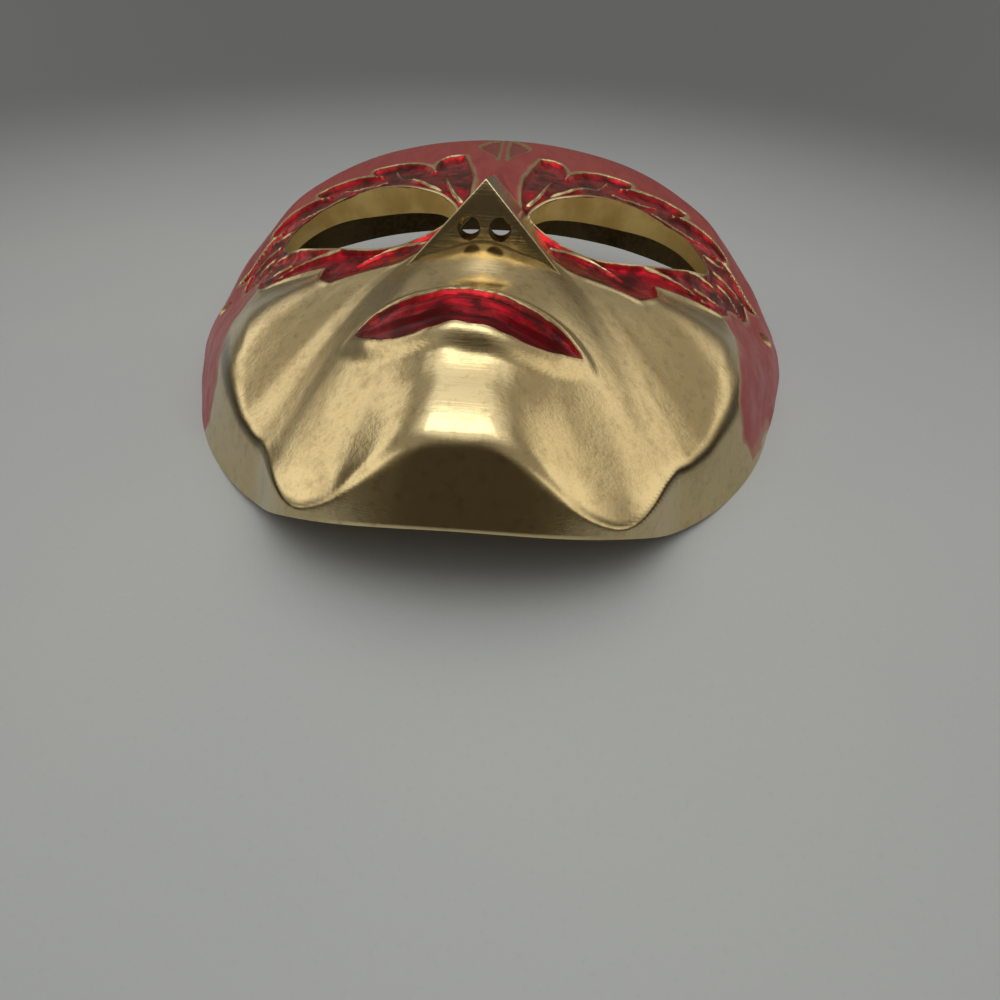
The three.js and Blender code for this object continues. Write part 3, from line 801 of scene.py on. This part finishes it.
BRASS = (0.80, 0.65, 0.36)
BRASS_DEEP = (0.68, 0.51, 0.24)
BRASS_DULL = (0.40, 0.30, 0.14)
BRASS_PAINTED_SHADE = (0.10, 0.08, 0.04)
PINK = (0.35, 0.050, 0.047)
PINK_DEEP = (0.25, 0.026, 0.027)
RED = (0.52, 0.006, 0.018)
RED_DEEP = (0.09, 0.003, 0.004)
EMBLEM_BROWN = (0.15, 0.04, 0.03)
EMBLEM_GOLD = (0.20, 0.16, 0.07)
RED_THIN = (0.30, 0.05, 0.02)
RED_RUN = (0.20, 0.012, 0.012)
RAW = (0.50, 0.36, 0.16)
RAW_DARK = (0.25, 0.17, 0.08)
RAW_BRIGHT = (0.62, 0.48, 0.25)
FILED = (0.85, 0.62, 0.22)
FILED_DEEP = (0.64, 0.43, 0.13)
RUB_TURNS = (12, -52)  # degrees; the brass was rubbed along these two ways


def polished(paint):
    """Colour, roughness and fine height of polished brass with hand-rubbed lines, and painted shade on the
    jaw line and side wall.
    """
    satin = paint.field("satin")
    patch = paint.noise(22, 3, roughness=0.55)
    along, across = (paint.noise(2200, 3, stretch=(0.035, 1, 1), turn=(0, 0, turn)) for turn in RUB_TURNS)
    lines = paint.blend(paint.ramp(patch, 0.44, 0.56), along, across, "FLOAT")
    mottle = paint.noise(420, 6, roughness=0.7)
    grime = paint.ramp(paint.noise(95, 6, roughness=0.7), 0.50, 0.68)
    colour = paint.blend(paint.ramp(patch, 0.35, 0.7, 0.0, 0.5), BRASS, BRASS_DEEP)
    colour = paint.blend(paint.ramp(lines, 0.45, 0.7, 0.0, 0.35), colour, BRASS_DEEP)
    colour = paint.blend(paint.ramp(mottle, 0.48, 0.72, 0.0, 0.5), colour, BRASS_DULL)
    colour = paint.blend(paint.math("MULTIPLY", grime, 0.30), colour, BRASS_DULL)
    # Painted shade: darker brass along the jaw line and the side wall under it, standing for the dark room
    # reflected there.
    colour = paint.blend(paint.math("MULTIPLY", paint.field("crease_shade"), 0.85), colour, BRASS_PAINTED_SHADE)
    rough = paint.blend(satin, 0.09, paint.ramp(patch, 0.3, 0.7, 0.13, 0.20), "FLOAT")
    for marks, share in ((lines, 0.08), (grime, 0.06)):
        rough = paint.math("ADD", rough, paint.math("MULTIPLY", marks, share))
    uneven = paint.math("ADD", lines, paint.math("MULTIPLY", mottle, 1.2))
    return colour, rough, paint.math("MULTIPLY", uneven, paint.math("ADD", satin, 0.35))


def face_finish():
    """Polished brass, with satin pink enamel inside the pink outline."""
    paint = Paint("brass_and_pink", specular=0.3)
    brass, brass_rough, lines = polished(paint)
    streak = paint.noise(260, 4, stretch=(1, 0.4, 1), roughness=0.6)
    cloud = paint.noise(45, 3)
    pink = paint.blend(paint.ramp(streak, 0.4, 0.8, 0.0, 0.7), PINK, PINK_DEEP)
    pink = paint.blend(paint.ramp(cloud, 0.4, 0.7, 0.0, 0.35), pink, PINK_DEEP)
    ragged = paint.math("MULTIPLY", paint.math("SUBTRACT", paint.noise(180, 3), 0.5), 2.2)
    edge = paint.math("ADD", paint.field("pink"), ragged)
    cover = paint.ramp(edge, -0.12, 0.12)
    thin = paint.ramp(edge, 0.0, 1.4, 0.55, 0.0)
    pink = paint.blend(thin, pink, BRASS_DULL)
    emblem = paint.field("emblem")
    pink = paint.blend(paint.ramp(emblem, 0.2, 1.2, 0.0, 0.6), pink, EMBLEM_BROWN)
    outline = paint.ramp(paint.math("ABSOLUTE", emblem), 0.25, 0.7, 1.0, 0.0)
    pink = paint.blend(outline, pink, EMBLEM_GOLD)
    colour = paint.blend(cover, brass, pink)
    rough = paint.blend(cover, brass_rough, paint.ramp(streak, 0.3, 0.7, 0.30, 0.42), "FLOAT")
    metallic = paint.ramp(cover, 0.0, 1.0, 1.0, 0.3)
    rubbed = paint.bump(lines, 0.00003, 0.8)
    normal = paint.bump(paint.math("ADD", cover, paint.math("MULTIPLY", streak, 0.3)), 0.0001, 0.7, rubbed)
    return paint.finish(colour, metallic, rough, normal)


def lacquer_finish():
    """Clear red lacquer pooled over brass: deep in the hollows, thin and golden at the ribs."""
    paint = Paint("red_lacquer", coat=0.08, coat_roughness=0.08, specular=0.3)
    brass, brass_rough, _ = polished(paint)
    brass = paint.blend(0.5, brass, BRASS_DULL)
    cloud = paint.noise(170, 4, roughness=0.6)
    red = paint.blend(paint.ramp(cloud, 0.38, 0.62), RED, RED_DEEP)
    # Painted shade: the lower lip is painted darker than the upper.
    red = paint.blend(paint.ramp(paint.field("shaded_lower_lip"), -0.3, 0.6, 0.0, 0.8), red, RED_DEEP)
    wobble = paint.math("MULTIPLY", paint.math("SUBTRACT", paint.noise(420, 3), 0.5), 0.5)
    edge = paint.math("ADD", paint.field("red"), wobble)
    cover = paint.ramp(edge, -0.08, 0.1)
    thin = paint.ramp(edge, 0.1, 0.8, 0.3, 0.0)
    red = paint.blend(thin, red, RED_THIN)
    colour = paint.blend(cover, brass, red)
    rough = paint.blend(cover, brass_rough, paint.ramp(cloud, 0.3, 0.7, 0.22, 0.4), "FLOAT")
    metallic = paint.blend(cover, 1.0, 0.9, "FLOAT")
    normal = paint.bump(paint.math("ADD", paint.math("MULTIPLY", cloud, 0.8), cover), 0.00008, 0.6)
    return paint.finish(colour, metallic, rough, normal)


def raw_finish():
    """The casting's plain back and rim: dull, grainy, darker brass."""
    paint = Paint("raw_brass")
    grain = paint.noise(700, 4, roughness=0.65)
    patch = paint.noise(35, 4, roughness=0.6)
    colour = paint.blend(paint.ramp(patch, 0.38, 0.66), RAW, RAW_DARK)
    colour = paint.blend(paint.ramp(grain, 0.4, 0.65, 0.0, 0.35), colour, RAW_BRIGHT)
    rough = paint.ramp(patch, 0.3, 0.7, 0.42, 0.62)
    normal = paint.bump(grain, 0.00025, 0.8)
    return paint.finish(colour, 1.0, rough, normal)


def eye_edge_finish():
    """Filed metal through the eye openings, with lacquer run over its top edge."""
    paint = Paint("eye_edge")
    filed = paint.noise(600, 3, stretch=(1, 1, 0.12))
    patch = paint.noise(110, 3)
    colour = paint.blend(paint.ramp(patch, 0.35, 0.65), FILED, FILED_DEEP)
    run = paint.math("ADD", paint.field("depth"), paint.math("MULTIPLY", paint.noise(140, 3), 1.6))
    red = paint.ramp(run, 0.8, 1.1, 1.0, 0.0)
    colour = paint.blend(red, colour, RED_RUN)
    rough = paint.blend(red, 0.55, 0.3, "FLOAT")
    normal = paint.bump(filed, 0.00015, 0.7)
    return paint.finish(colour, 0.4, rough, normal)


FINISHES = [face_finish, lacquer_finish, raw_finish, eye_edge_finish]


# Stage, light and camera, in metres

FLOOR_REACH = 3.0
SHEET = (0.40, 0.415, 0.42)
SHEET_LIGHT = (0.43, 0.445, 0.44)
# colour of the painted shade far out on the sheet, and of its dark specks
SHEET_SHADE_AND_SPECK = (0.12, 0.13, 0.135)
ROOM_TOP = (1.0, 1.0, 0.98)
ROOM_HIGH = (0.29, 0.27, 0.24)
ROOM_SIDE = (1.0, 0.95, 0.85)
ROOM_FAR = (0.24, 0.22, 0.18)
ROOM_LOW = (0.10, 0.09, 0.07)
ROOM_DARK = (0.05, 0.042, 0.03)

# Where the room changes, by the upward or northward part of the direction
LOW_ENDS = (0.10, 0.20)
HIGH_STARTS = (0.33, 0.46)
TOP_STARTS = (0.62, 0.84)
SIDE_STARTS = (-0.75, -0.5)
SIDE_ENDS = (0.55, 0.9)
PERSON_HALF = 0.66
PERSON_LOW = 0.06
PERSON_TALL = 0.56
PERSON_EDGE = (0.7, 1.2)
CHIN_SIDE = (-0.2, 0.0)

LAMP_PLACE = Vector((0, -0.20, 0.75))
LAMP_AIM = Vector((0, 0, 0.03))
LAMP_SIZE = (0.80, 0.45)
LAMP_POWER = 1.2
LAMP_COLOUR = (1.0, 0.99, 0.96)

CAMERA_PLACE = (0.01023, -0.16193, 0.09961)
CAMERA_TURN = (49.006, -1.826, 3.544)  # degrees
CAMERA_LENS = 25.92
CAMERA_SENSOR = 36.0
CAMERA_CLIP = 0.005


def build_floor():
    """A pale sheet that lies flat under the object, with painted shade that greys it off with distance."""
    near, far = -FLOOR_REACH / MM, FLOOR_REACH / MM
    corners = [(near, near, 0), (far, near, 0), (far, far, 0), (near, far, 0)]
    floor = make_object("floor", corners, [(0, 1, 2, 3)])
    paint = Paint("pale_sheet")
    speck = paint.noise(900, 3)
    cloud = paint.noise(5, 3)
    length = paint.add("ShaderNodeVectorMath", operation="LENGTH")
    paint.feed(length.inputs[0], paint.place)
    colour = paint.blend(paint.ramp(cloud, 0.3, 0.7), SHEET, SHEET_LIGHT)
    # Painted shade: the sheet darkens with distance, as if the light fell off away from the object.
    colour = paint.blend(paint.ramp(length.outputs["Value"], 0.06, 0.40), colour, SHEET_SHADE_AND_SPECK)
    # Dark specks on the sheet, in the same colour.
    colour = paint.blend(paint.ramp(speck, 0.55, 0.75, 0.0, 0.06), colour, SHEET_SHADE_AND_SPECK)
    floor.data.materials.append(paint.finish(colour, 0.0, 0.55, paint.bump(speck, 0.0001, 0.3)))


def add_overhead():
    """A wide soft lamp above the mask."""
    data = bpy.data.lights.new("overhead", "AREA")
    data.shape = "RECTANGLE"
    data.size, data.size_y = LAMP_SIZE
    data.energy = LAMP_POWER
    data.color = LAMP_COLOUR
    lamp = bpy.data.objects.new("overhead", data)
    bpy.context.scene.collection.objects.link(lamp)
    lamp.location = LAMP_PLACE
    lamp.rotation_euler = (LAMP_AIM - LAMP_PLACE).to_track_quat("-Z", "Y").to_euler()


def build_room():
    """A pale room: bright overhead and at the sides, dark low down and where someone stands at the chin."""
    world = bpy.data.worlds.new("soft room")
    bpy.context.scene.world = world
    world.use_nodes = True
    room = Nodes(world.node_tree, "Generated")
    split = room.add("ShaderNodeSeparateXYZ")
    room.feed(split.inputs[0], room.place)
    east, north, height = split.outputs
    past_chin, past_forehead = room.ramp(north, *SIDE_STARTS), room.ramp(north, *SIDE_ENDS, 1.0, 0.0)
    colour = room.blend(room.math("MULTIPLY", past_chin, past_forehead), ROOM_FAR, ROOM_SIDE)
    colour = room.blend(room.ramp(height, *LOW_ENDS), ROOM_LOW, colour)
    colour = room.blend(room.ramp(height, *HIGH_STARTS), colour, ROOM_HIGH)
    colour = room.blend(room.ramp(height, *TOP_STARTS), colour, ROOM_TOP)
    aside = room.math("DIVIDE", room.math("ABSOLUTE", east), PERSON_HALF)
    above = room.math("DIVIDE", room.math("SUBTRACT", height, PERSON_LOW), PERSON_TALL)
    away = room.math("SQRT", room.math("ADD", room.math("POWER", aside, 2.0), room.math("POWER", above, 2.0)))
    at_chin = room.ramp(north, *CHIN_SIDE, 1.0, 0.0)
    person = room.math("MULTIPLY", room.ramp(away, *PERSON_EDGE, 1.0, 0.0), at_chin)
    room.feed(world.node_tree.nodes["Background"].inputs[0], room.blend(person, colour, ROOM_DARK))


def build_camera():
    """A phone's main camera, held near the chin and looking down along the face."""
    data = bpy.data.cameras.new("camera")
    data.lens = CAMERA_LENS
    data.sensor_width = CAMERA_SENSOR
    data.clip_start = CAMERA_CLIP
    camera = bpy.data.objects.new("camera", data)
    bpy.context.scene.collection.objects.link(camera)
    camera.location = CAMERA_PLACE
    camera.rotation_euler = [math.radians(a) for a in CAMERA_TURN]
    bpy.context.scene.camera = camera


def build_mask():
    casting = build_casting()
    casting.name = "mask_casting"
    casting.data.materials.clear()
    for finish in FINISHES:
        casting.data.materials.append(finish())
    dress(casting)
    casting.data.shade_smooth()
    casting.data.set_sharp_from_angle(angle=math.radians(SHARP_FROM))
    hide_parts("brass_mask")
    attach(casting, "root")


build_camera()
build_mask()
build_floor()
build_room()
add_overhead()
bpy.context.scene.view_settings.view_transform = "Standard"
